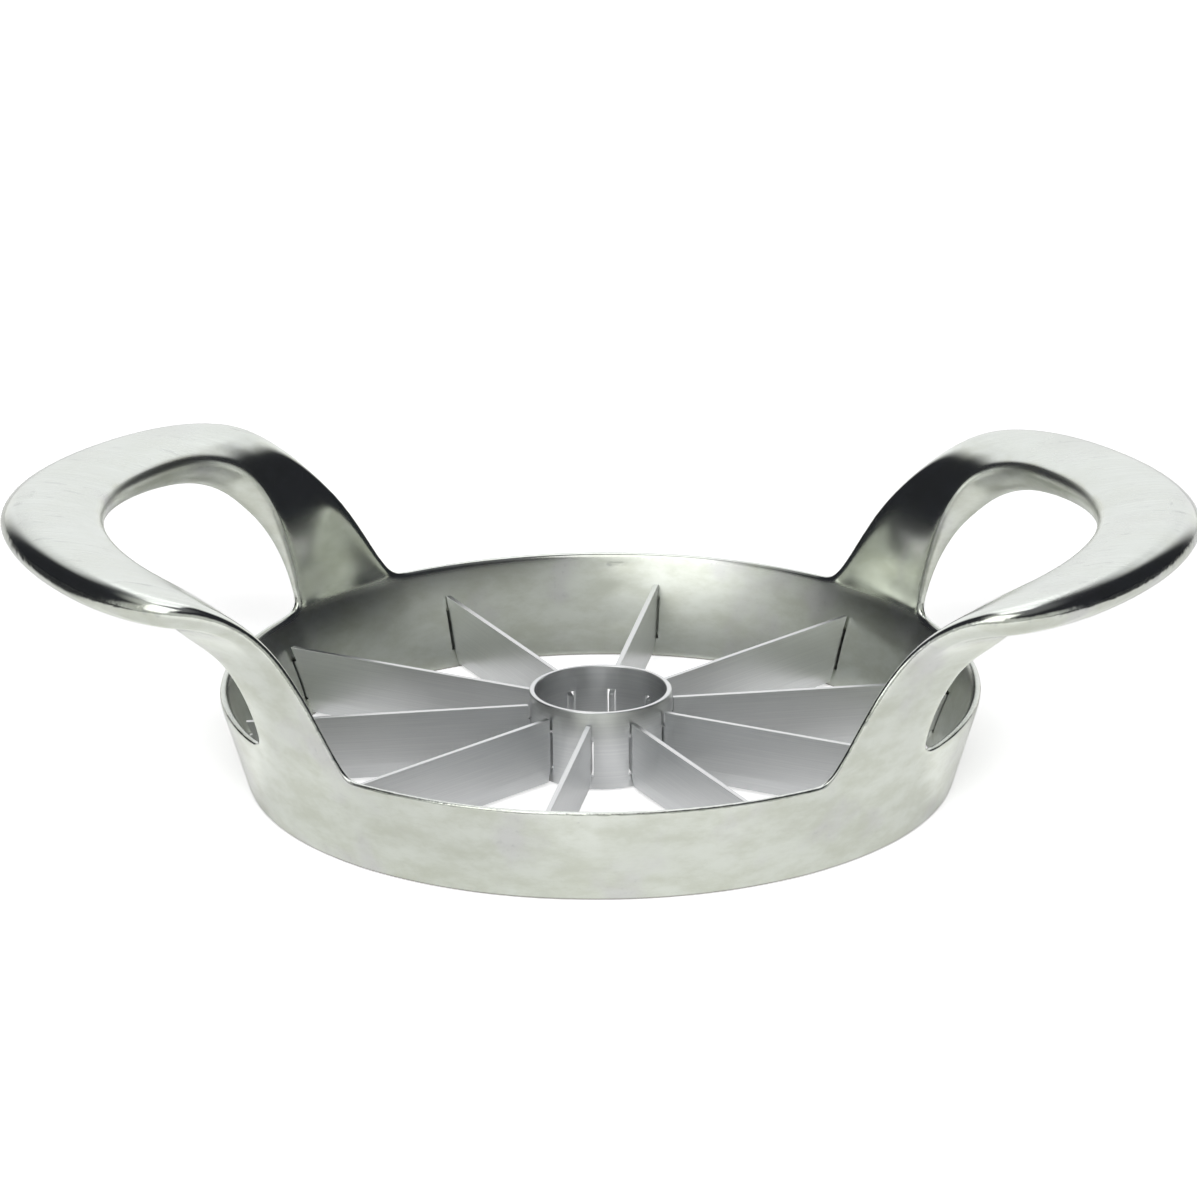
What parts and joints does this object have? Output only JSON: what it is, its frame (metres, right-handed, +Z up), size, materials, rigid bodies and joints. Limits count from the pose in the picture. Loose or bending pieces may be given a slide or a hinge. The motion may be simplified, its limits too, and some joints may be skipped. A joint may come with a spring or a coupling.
{
  "type": "apple slicer and corer",
  "caption": "Tapered cast ring with two wide loop handles, crossed by radial blades that meet at a central corer ring.",
  "frame": {"origin": "on the table, at the centre of the ring's flat bottom face", "axes": "+Z up through the corer, +X out through the right-hand handle, so -Y faces the front"},
  "size_m": [0.18, 0.115, 0.0433],
  "materials": {
    "cast_aluminium": "hand-polished casting, softly clouded, with fine brush marks",
    "blade_steel": "fine ground stainless steel",
    "corer_steel": "turned stainless steel"
  },
  "bodies": {
    "root": {"cast_frame": "cast_aluminium", "corer_ring": "corer_steel", "blade_01": "blade_steel", "blade_02": "blade_steel", "blade_03": "blade_steel", "blade_04": "blade_steel", "blade_05": "blade_steel", "blade_06": "blade_steel", "blade_07": "blade_steel", "blade_08": "blade_steel", "blade_09": "blade_steel", "blade_10": "blade_steel"}
  },
  "joints": []
}
